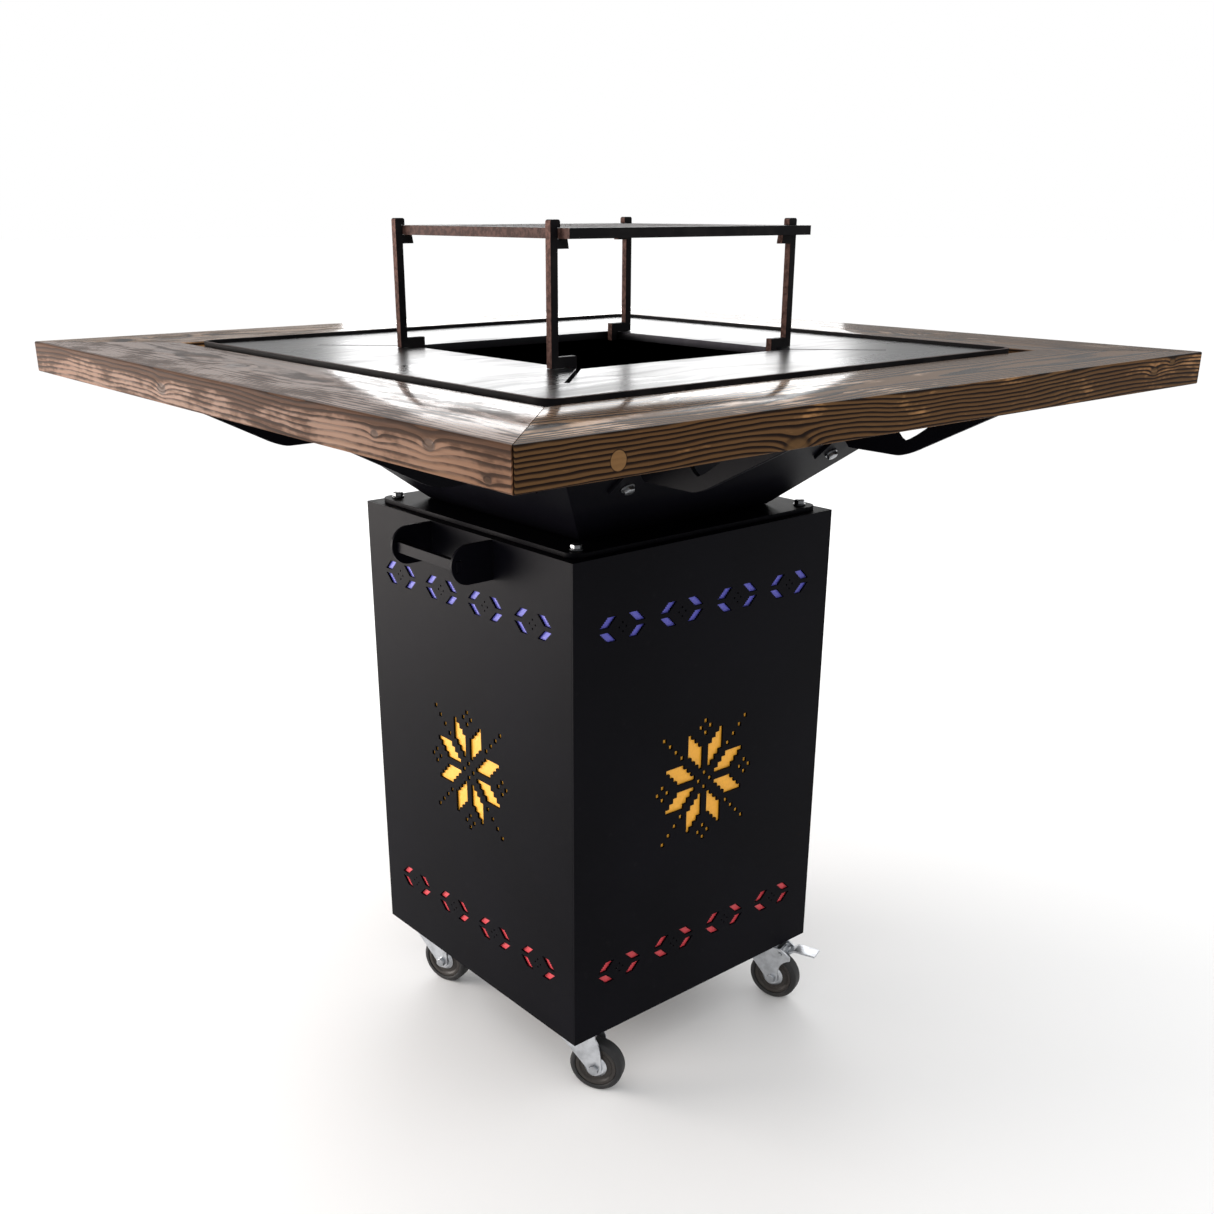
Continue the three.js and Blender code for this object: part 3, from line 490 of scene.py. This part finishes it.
# ---- Making pieces --------------------------------------------------------------------------
def made(name, work, material, body, stands_for=(), edge=0.0, segments=2):
    """Turns a bmesh into a finished piece that rides on a body."""
    mesh = bpy.data.meshes.new(name)
    bmesh.ops.recalc_face_normals(work, faces=work.faces)
    work.to_mesh(mesh)
    work.free()
    mesh.materials.append(material)
    mesh.shade_smooth()
    mesh.set_sharp_from_angle(angle=CREASE)
    piece = bpy.data.objects.new(name, mesh)
    bpy.context.scene.collection.objects.link(piece)
    if edge > 0:
        bevel = piece.modifiers.new("edges", "BEVEL")
        bevel.width = edge
        bevel.segments = segments
        bevel.limit_method = "ANGLE"
        bevel.angle_limit = CREASE
        bevel.harden_normals = True
    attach(piece, body)
    if stands_for:
        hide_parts(*stands_for)
    return piece


def merged(node):
    """A clean bmesh of a CAD node: points welded and flat triangles joined."""
    work = bmesh.new()
    work.from_mesh(frame["nodes"][node].data)
    bmesh.ops.remove_doubles(work, verts=work.verts, dist=WELD)
    bmesh.ops.dissolve_limit(work, angle_limit=FLAT, verts=work.verts, edges=work.edges)
    return work


def refined(node, material, body, edge=None, segments=2):
    """The CAD node with its sharp edges rounded."""
    width = sizes().steel_edge if edge is None else edge
    return made(f"{node}_finished", merged(node), material, body, (node,), width, segments)


def centre(node):
    low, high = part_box(node)
    return (low + high) / 2


def slab(work, low, high):
    """Adds a block between two corners and returns its points."""
    size = Vector(high) - Vector(low)
    matrix = Matrix.Translation((Vector(high) + Vector(low)) / 2) @ Matrix.Diagonal((*size, 1.0))
    return bmesh.ops.create_cube(work, size=1.0, matrix=matrix)["verts"]


def disc(work, radius, height, matrix, segments=32, top=None):
    """Adds a closed cylinder whose lower end stands at the matrix's origin."""
    lift = matrix @ Matrix.Translation((0, 0, height / 2))
    return bmesh.ops.create_cone(
        work, cap_ends=True, segments=segments, radius1=radius,
        radius2=radius if top is None else top, depth=height, matrix=lift,
    )["verts"]


def hex_bolt(work, matrix):
    """Adds a washer and a chamfered hexagon head standing on the matrix's XY plane."""
    size = sizes()
    point_radius = size.bolt_flats / math.sqrt(3)
    disc(work, size.washer_radius, size.washer_sheet, matrix)
    seat = matrix @ Matrix.Translation((0, 0, size.washer_sheet))
    head = disc(work, point_radius, size.bolt_head, seat, segments=6)
    axis = seat.to_quaternion() @ Vector((0, 0, 1))
    origin = seat.translation
    top = [v for v in head if (v.co - origin).dot(axis) > size.bolt_head * 0.9]
    rim = [e for v in top for e in v.link_edges if e.other_vert(v) in top]
    bmesh.ops.bevel(
        work, geom=list(set(rim)), offset=size.bolt_head * 0.16, segments=2,
        profile=0.5, material=-1, affect="EDGES",
    )


# ---- Table ----------------------------------------------------------------------------------
SHANK_RADIUS = 0.004  # metres, the flange bolts' shanks
BOLT_EDGE = 0.0002
BOWL_FLOOR_HALF = 0.174  # half the side of the bowl's floor, outside
PAD_BOLT_HEIGHT = 0.012  # above the lowest point of a bracket
PAD_BOLT_OUT = 0.0056  # from the bowl's outer face to the washer on a bracket's pad


def build_boards():
    """Four mitred boards with eased edges and softened outer corners."""
    for turn, side in enumerate(SIDES):
        low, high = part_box("board_front")
        board_length = high.x - low.x
        half = board_length / 2
        work = bmesh.new()
        slab(work, low, high)
        inner = high.y
        for sign in (-1, 1):
            normal = Vector((sign, 1, 0)).normalized()
            corner = Vector((sign * (half - MITRE_GAP), low.y, low.z))
            geometry = work.verts[:] + work.edges[:] + work.faces[:]
            bmesh.ops.bisect_plane(
                work, geom=geometry, plane_co=corner, plane_no=normal, clear_outer=True
            )
            open_edges = [e for e in work.edges if e.is_boundary]
            bmesh.ops.holes_fill(work, edges=open_edges)
        corners = [e for e in work.edges if all(abs(v.co.y - low.y) < WELD for v in e.verts)
                   and abs(e.verts[0].co.x - e.verts[1].co.x) < WELD]
        long_edges = [e for e in work.edges if abs(e.verts[0].co.y - e.verts[1].co.y) < WELD
                      and abs(e.verts[0].co.x - e.verts[1].co.x) > board_length / 2]
        bmesh.ops.bevel(
            work, geom=long_edges + corners, offset=sizes().board_edge, segments=3,
            profile=0.5, material=-1, affect="EDGES",
        )
        bmesh.ops.rotate(
            work, verts=work.verts, cent=(0, 0, 0), matrix=Matrix.Rotation(turn * QUARTER_TURN, 3, "Z")
        )
        made(f"table_board_{side}", work, scorched_wood(side), "table", (f"board_{side}",))


def build_plancha():
    rim_steel = cut_steel("rim_steel", FACES_Z, 0.25)
    refined("plancha_rim", rim_steel, "table", 0.0008)
    refined("plancha_plate", seasoned_steel(), "table", 0.0010, 3)


def build_bowl():
    refined("fire_bowl", black_coat("bowl_coat", 0.40), "table", edge=0.0015, segments=3)
    refined("bowl_flange", black_coat(), "table", edge=0.0008)
    for corner in CORNERS:
        node = f"flange_bolt_{corner}"
        work = bmesh.new()
        low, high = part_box(node)
        spot = centre(node)
        seat = high.z - sizes().bolt_head - sizes().washer_sheet
        hex_bolt(work, Matrix.Translation((spot.x, spot.y, seat)))
        disc(work, SHANK_RADIUS, seat - low.z, Matrix.Translation((spot.x, spot.y, low.z)), 16)
        # Painted shade: the flange bolts use the same zinc, darkened to look as they do in the shade
        # under the table.
        metal = zinc_plate("zinc_with_painted_shade", 0.72)
        made(f"{node}_finished", work, metal, "table", (node,), BOLT_EDGE)


def build_brackets():
    """The brackets, each with a bolt through its pad into the bowl's wall."""
    bowl_low, bowl_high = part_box("fire_bowl")
    spread = (bowl_high.x - BOWL_FLOOR_HALF) / (bowl_high.z - bowl_low.z)
    lean = math.atan(spread)
    outward = Vector((0, -math.cos(lean), -math.sin(lean)))
    turn_down = outward.to_track_quat("Z", "X").to_matrix().to_4x4()
    for turn, side in enumerate(SIDES):
        for kind in "ab":
            refined(f"bracket_{kind}_{side}", black_coat(), "table", edge=0.0007)
            low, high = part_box(f"bracket_{kind}_front")
            height = low.z + PAD_BOLT_HEIGHT
            wall = BOWL_FLOOR_HALF + spread * (height - bowl_low.z)
            seat = Vector(((low.x + high.x) / 2, -wall, height)) + outward * PAD_BOLT_OUT
            work = bmesh.new()
            hex_bolt(work, Matrix.Translation(seat) @ turn_down)
            bmesh.ops.rotate(
                work, verts=work.verts, cent=(0, 0, 0),
                matrix=Matrix.Rotation(turn * QUARTER_TURN, 3, "Z"),
            )
            # Painted shade: the bracket bolts use the same zinc, darkened to look as they do in the
            # shade under the table top.
            metal = zinc_plate("zinc_with_some_painted_shade", 0.5)
            made(f"bracket_bolt_{kind}_{side}", work, metal, "table", (), BOLT_EDGE)


# ---- Cabinet --------------------------------------------------------------------------------
CROSS = ((1, 0), (0, 1), (-1, 0), (0, -1))
STAR_DROP = 0.007  # metres, how far the star sits below the panel's middle
ROW_HEIGHT = 0.252  # from the panel's middle to each row of hexagons
ROW_STEP = 0.105
ROW_COUNT = 4


def mirrored(points):
    flips = ((1, 1), (-1, 1), (-1, -1), (1, -1))
    return [[(fx * x, fz * z) for x, z in points] for fx, fz in flips]


def square(x, z, side):
    half = side / 2
    return [(x - half, z - half), (x + half, z - half), (x + half, z + half), (x - half, z + half)]


def star_outlines():
    """Eight stepped petals, a ring of dots and four rays of dots."""
    cell = sizes().star_cell
    dot = sizes().star_dot
    gap, start, reach, columns = 0.0053, 0.019, 0.0345, 4
    petal = []
    for i in range(columns):
        petal += [(gap + i * cell, start + i * cell), (gap + (i + 1) * cell, start + i * cell)]
    for i in reversed(range(columns)):
        top = start + reach + i * cell
        petal += [(gap + (i + 1) * cell, top), (gap + i * cell, top)]
    outlines = mirrored(petal) + mirrored([(z, x) for x, z in petal])
    middle_ring, tip, tip_ring, ray_start, ray_step = 0.011, 0.081, 0.0092, 0.045, 0.0113
    for along, off in CROSS:
        outlines.append(square(middle_ring * along, middle_ring * off, dot))
        for step_x, step_z in CROSS:
            outlines.append(
                square(tip * along + tip_ring * step_x, tip * off + tip_ring * step_z, dot)
            )
    for i in range(4):
        ray = ray_start + ray_step * i
        outlines += [square(sx * ray, sz * ray, dot) for sx in (-1, 1) for sz in (-1, 1)]
    return outlines


def hexagon_outlines():
    """Four arms with stepped slanting sides round four small dots."""
    near, height, width, half_width, shift, steps = 0.003, 0.0138, 0.0155, 0.0385, 0.012, 6
    outer = []
    inner = []
    for i in range(steps):
        x = half_width - shift * i / (steps - 1)
        z0 = near + height * i / steps
        z1 = near + height * (i + 1) / steps
        outer += [(x, z0), (x, z1)]
        inner += [(x - width, z0), (x - width, z1)]
    arm = outer + inner[::-1]
    dot = sizes().hex_dot
    dots = [square(0.006 * x, 0.0062 * z, dot) for x, z in CROSS]
    return mirrored(arm) + dots


def panel_mesh(low, high):
    """The front panel with its stepped cut-outs, from a flat filled curve."""
    middle = (low.z + high.z) / 2
    curve = bpy.data.curves.new("panel_outline", "CURVE")
    curve.dimensions = "2D"
    curve.fill_mode = "BOTH"
    curve.extrude = (high.y - low.y) / 2
    edge = [(low.x, low.z), (high.x, low.z), (high.x, high.z), (low.x, high.z)]
    outlines = [edge]
    outlines += [[(x, z + middle - STAR_DROP) for x, z in hole] for hole in star_outlines()]
    for row in (-ROW_HEIGHT, ROW_HEIGHT):
        for i in range(ROW_COUNT):
            x0 = ROW_STEP * (i - (ROW_COUNT - 1) / 2)
            outlines += [[(x + x0, z + middle + row) for x, z in hole] for hole in hexagon_outlines()]
    for points in outlines:
        spline = curve.splines.new("POLY")
        spline.points.add(len(points) - 1)
        for point, (x, z) in zip(spline.points, points):
            point.co = (x, z, 0.0, 1.0)
        spline.use_cyclic_u = True
    holder = bpy.data.objects.new("panel_outline", curve)
    bpy.context.scene.collection.objects.link(holder)
    bpy.context.view_layer.update()
    flat = bpy.data.meshes.new_from_object(holder.evaluated_get(bpy.context.evaluated_depsgraph_get()))
    bpy.data.objects.remove(holder)
    bpy.data.curves.remove(curve)
    return flat


def build_cabinet():
    """Panels with the cut pattern, coloured sheets behind them, top and floor plates."""
    low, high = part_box("cabinet_panel_front")
    flat = panel_mesh(low, high)
    for turn, side in enumerate(SIDES):
        work = bmesh.new()
        work.from_mesh(flat)
        bmesh.ops.remove_doubles(work, verts=work.verts, dist=WELD)
        stand = Matrix.Rotation(QUARTER_TURN, 4, "X")
        shift = Matrix.Translation((0, (low.y + high.y) / 2, 0))
        spin = Matrix.Rotation(turn * QUARTER_TURN, 4, "Z")
        bmesh.ops.transform(work, verts=work.verts, matrix=spin @ shift @ stand)
        made(f"cabinet_side_{side}", work, black_coat(), "table", (f"cabinet_panel_{side}",))
        liner = frame["nodes"][f"colour_liner_{side}"]
        liner.data.materials.clear()
        liner.data.materials.append(pattern_paint())
    bpy.data.meshes.remove(flat)
    refined("cabinet_top", black_coat(), "table")
    refined("cabinet_floor", black_coat(), "table")


def build_handle():
    for node in ("handle_cheek_front", "handle_cheek_back", "handle_bar"):
        refined(node, black_coat("handle_coat", 0.34), "table", edge=0.0008)


# ---- Grate ----------------------------------------------------------------------------------
def build_grate():
    """The four legs and the slotted plate, which lift off together."""
    # Faces along X are brown and faces along Y near-black: partly cut edges and mill scale, partly
    # painted light and painted shade.
    leg_steel = cut_steel("leg_steel", FACES_X, 0.9)
    plate_steel = cut_steel("grate_steel", FACES_X, 0.55)
    for corner in CORNERS:
        refined(f"grate_leg_{corner}", leg_steel, "grate_stand")
    refined("grate_plate", plate_steel, "grate_stand")


# ---- Casters --------------------------------------------------------------------------------
def wheel_place(corner):
    """The middle of a wheel and the direction of its axle."""
    joint = next(j for j in frame["joints"] if j["name"] == f"wheel_spin_{corner}")
    axle = Vector(joint["axis"]).normalized()
    return Vector(joint["pos_m"]), axle


def spun(work, profile, matrix):
    """Adds a ring spun about the local Z from a closed profile of (radius, along the axis)."""
    points = [work.verts.new(matrix @ Vector((r, 0, a))) for r, a in profile]
    edges = [work.edges.new((points[i], points[(i + 1) % len(points)])) for i in range(len(points))]
    bmesh.ops.spin(
        work, geom=points + edges, cent=matrix.translation,
        axis=matrix.to_quaternion() @ Vector((0, 0, 1)), dvec=(0, 0, 0),
        angle=2 * math.pi, steps=sizes().wheel_segments, use_merge=True, use_duplicate=False,
    )


def rounded(profile, radius, turns):
    """Replaces each corner of a closed profile by a short arc of straight steps."""
    smooth = []
    count = len(profile)
    for i, here in enumerate(profile):
        here = Vector(here)
        before = Vector(profile[i - 1]) - here
        after = Vector(profile[(i + 1) % count]) - here
        cut = min(radius, before.length * 0.45, after.length * 0.45)
        start = here + before.normalized() * cut
        end = here + after.normalized() * cut
        for step in range(turns + 1):
            t = step / turns
            smooth.append(tuple(start * (1 - t) ** 2 + here * 2 * t * (1 - t) + end * t ** 2))
    return smooth


# Closed profiles of the turned pieces: radius, and place along the axle, in metres
TREAD = ((0.0313, -0.0118), (0.0355, -0.0118), (0.0398, -0.0095), (0.0400, 0.0),
         (0.0398, 0.0095), (0.0355, 0.0118), (0.0313, 0.0118))
WEB = ((0.0050, -0.0138), (0.0125, -0.0138), (0.0150, -0.0088), (0.0240, -0.0075),
       (0.0262, -0.0104), (0.0310, -0.0104), (0.0310, 0.0104), (0.0262, 0.0104),
       (0.0240, 0.0075), (0.0150, 0.0088), (0.0125, 0.0138), (0.0050, 0.0138))
HUB_SHELL = ((0.0052, 0.0140), (0.0130, 0.0140), (0.0172, 0.0102), (0.0168, 0.0096),
             (0.0126, 0.0134), (0.0052, 0.0134))
TREAD_ROUNDING = 0.0022
WEB_ROUNDING = 0.0010


def build_casters():
    """Mounts and forks from the frame, with spun tyres, webs and hub discs."""
    for corner in CORNERS:
        swivel = f"caster_{corner}"
        rolling = f"wheel_{corner}"
        spot, axle = wheel_place(corner)
        matrix = Matrix.Translation(spot) @ axle.to_track_quat("Z", "Y").to_matrix().to_4x4()
        refined(f"caster_mount_{corner}", zinc_plate(), "table", 0.0004)
        refined(f"caster_fork_{corner}", zinc_plate(), swivel, 0.0006)
        refined(f"caster_axle_{corner}", zinc_plate("axle_zinc", 0.25), swivel, 0.0004)
        work = bmesh.new()
        spun(work, rounded(TREAD, TREAD_ROUNDING, 3), matrix)
        made(f"tyre_{corner}", work, tyre_rubber(), rolling, (f"caster_tyre_{corner}",))
        work = bmesh.new()
        spun(work, rounded(WEB, WEB_ROUNDING, 2), matrix)
        stands_for = (f"caster_wheel_{corner}",)
        made(f"wheel_web_{corner}", work, web_plastic(), rolling, stands_for)
        for side, sign in (("inner", -1), ("outer", 1)):
            work = bmesh.new()
            spun(work, [(r, sign * a) for r, a in HUB_SHELL], matrix)
            made(f"hub_disc_{side}_{corner}", work, zinc_plate(), rolling, ())
    for corner in BRAKED:
        refined(f"brake_pedal_{corner}", zinc_plate(), f"pedal_{corner}", 0.0008, 3)


# ---- Stage ----------------------------------------------------------------------------------
CAMERA_PLACE = (-1.2122, -1.4338, 1.2091)
CAMERA_PITCH = 20.93
CAMERA_AZIMUTH = -39.85
CAMERA_LENS = 38.64
CAMERA_SHIFT = (0.0157, 0.0824)
CAMERA_SENSOR = 36.0
FLOOR_RADIUS = 60.0


def softbox(name, place, target, size, power, tone=(1.0, 1.0, 1.0)):
    light = bpy.data.lights.new(name, "AREA")
    light.shape = "RECTANGLE"
    light.size, light.size_y = size
    light.energy = power
    light.color = tone
    lamp = bpy.data.objects.new(name, light)
    lamp.location = place
    aim = Vector(target) - Vector(place)
    lamp.rotation_euler = aim.to_track_quat("-Z", "Y").to_euler()
    lamp.visible_camera = False
    bpy.context.scene.collection.objects.link(lamp)


def build_camera():
    view = bpy.data.cameras.new("view")
    view.lens = CAMERA_LENS
    view.sensor_width = CAMERA_SENSOR
    view.shift_x, view.shift_y = CAMERA_SHIFT
    camera = bpy.data.objects.new("view", view)
    camera.location = CAMERA_PLACE
    camera.rotation_euler = (math.radians(90 - CAMERA_PITCH), 0.0, math.radians(CAMERA_AZIMUTH))
    bpy.context.scene.collection.objects.link(camera)
    bpy.context.scene.camera = camera


def build_stage():
    """Pale floor, two windows, and a white room that is darker near the horizon."""
    scene = bpy.context.scene
    scene.view_settings.view_transform = "Standard"
    world = bpy.data.worlds.new("studio")
    scene.world = world
    world.use_nodes = True
    tree = world.node_tree
    background = tree.nodes["Background"]
    place = tree.nodes.new("ShaderNodeTexCoord")
    height = tree.nodes.new("ShaderNodeSeparateXYZ")
    tree.links.new(place.outputs["Generated"], height.inputs[0])
    glow = tree.nodes.new("ShaderNodeMapRange")
    glow.interpolation_type = "SMOOTHSTEP"
    for key, value in (("From Min", 0.0), ("From Max", 0.6), ("To Min", 0.32), ("To Max", 1.25)):
        glow.inputs[key].default_value = value
    tree.links.new(height.outputs["Z"], glow.inputs["Value"])
    path = tree.nodes.new("ShaderNodeLightPath")
    brightness = tree.nodes.new("ShaderNodeMix")
    brightness.inputs[3].default_value = 1.0
    tree.links.new(path.outputs["Is Camera Ray"], brightness.inputs[0])
    tree.links.new(glow.outputs["Result"], brightness.inputs[2])
    tree.links.new(brightness.outputs[0], background.inputs["Strength"])
    background.inputs["Color"].default_value = (1.0, 1.0, 1.0, 1.0)
    work = bmesh.new()
    bmesh.ops.create_circle(work, cap_ends=True, segments=96, radius=FLOOR_RADIUS)
    mesh = bpy.data.meshes.new("floor")
    work.to_mesh(mesh)
    work.free()
    floor = bpy.data.objects.new("floor", mesh)
    scene.collection.objects.link(floor)
    finish = Finish("pale_floor")
    mesh.materials.append(finish.set(base_color=(0.90, 0.90, 0.90), roughness=0.9))
    softbox("far_window", (2.83, 3.37, 1.9), (0, 0, 1.0), (2.4, 1.8), 42.0)
    softbox("left_window", (-2.4, 2.5, 0.7), (0, 0, 0.5), (2.2, 1.4), 140.0, (1.0, 0.93, 0.88))


# ---- Operators ------------------------------------------------------------------------------
class BuildStep(bpy.types.Operator):
    """One step of the build."""

    bl_options = {"REGISTER", "UNDO"}
    work = staticmethod(lambda: None)

    def execute(self, context):
        type(self).work()
        return {"FINISHED"}


class FIREPIT_OT_camera(BuildStep):
    """Set the camera"""

    bl_idname = "firepit.camera"
    bl_label = "Camera"
    work = staticmethod(build_camera)


class FIREPIT_OT_boards(BuildStep):
    """Build the scorched table boards"""

    bl_idname = "firepit.boards"
    bl_label = "Table Boards"
    work = staticmethod(build_boards)


class FIREPIT_OT_plancha(BuildStep):
    """Build the cooking plate and its rim"""

    bl_idname = "firepit.plancha"
    bl_label = "Cooking Plate"
    work = staticmethod(build_plancha)


class FIREPIT_OT_bowl(BuildStep):
    """Build the fire bowl, its flange and the flange bolts"""

    bl_idname = "firepit.bowl"
    bl_label = "Fire Bowl"
    work = staticmethod(build_bowl)


class FIREPIT_OT_brackets(BuildStep):
    """Build the brackets and their bolts"""

    bl_idname = "firepit.brackets"
    bl_label = "Brackets"
    work = staticmethod(build_brackets)


class FIREPIT_OT_cabinet(BuildStep):
    """Build the cabinet with its cut pattern"""

    bl_idname = "firepit.cabinet"
    bl_label = "Cabinet"
    work = staticmethod(build_cabinet)


class FIREPIT_OT_handle(BuildStep):
    """Build the handle"""

    bl_idname = "firepit.handle"
    bl_label = "Handle"
    work = staticmethod(build_handle)


class FIREPIT_OT_grate(BuildStep):
    """Build the grate and its legs"""

    bl_idname = "firepit.grate"
    bl_label = "Grate"
    work = staticmethod(build_grate)


class FIREPIT_OT_casters(BuildStep):
    """Build the casters and brake pedals"""

    bl_idname = "firepit.casters"
    bl_label = "Casters"
    work = staticmethod(build_casters)


class FIREPIT_OT_stage(BuildStep):
    """Build the floor, the world and the lights"""

    bl_idname = "firepit.stage"
    bl_label = "Stage"
    work = staticmethod(build_stage)


STEPS = (
    FIREPIT_OT_camera,
    FIREPIT_OT_boards,
    FIREPIT_OT_plancha,
    FIREPIT_OT_bowl,
    FIREPIT_OT_brackets,
    FIREPIT_OT_cabinet,
    FIREPIT_OT_handle,
    FIREPIT_OT_grate,
    FIREPIT_OT_casters,
    FIREPIT_OT_stage,
)


class FIREPIT_PT_panel(bpy.types.Panel):
    """Lists the steps, sizes and colours"""

    bl_idname = "FIREPIT_PT_panel"
    bl_label = "Fire Pit"
    bl_space_type = "VIEW_3D"
    bl_region_type = "UI"
    bl_category = "Fire Pit"

    def draw(self, context):
        layout = self.layout
        for step in STEPS:
            layout.operator(step.bl_idname)
        for group in (context.scene.fire_pit_sizes, context.scene.fire_pit_colours):
            box = layout.box()
            for name in group.__annotations__:
                box.prop(group, name)


CLASSES = (FirePitSizes, FirePitColours, *STEPS, FIREPIT_PT_panel)


def register():
    for cls in CLASSES:
        bpy.utils.register_class(cls)
    bpy.types.Scene.fire_pit_sizes = PointerProperty(type=FirePitSizes)
    bpy.types.Scene.fire_pit_colours = PointerProperty(type=FirePitColours)


def unregister():
    del bpy.types.Scene.fire_pit_colours
    del bpy.types.Scene.fire_pit_sizes
    for cls in reversed(CLASSES):
        bpy.utils.unregister_class(cls)


def main():
    register()
    for step in STEPS:
        getattr(bpy.ops.firepit, step.bl_idname.split(".")[1])()


if __name__ == "__main__":
    main()
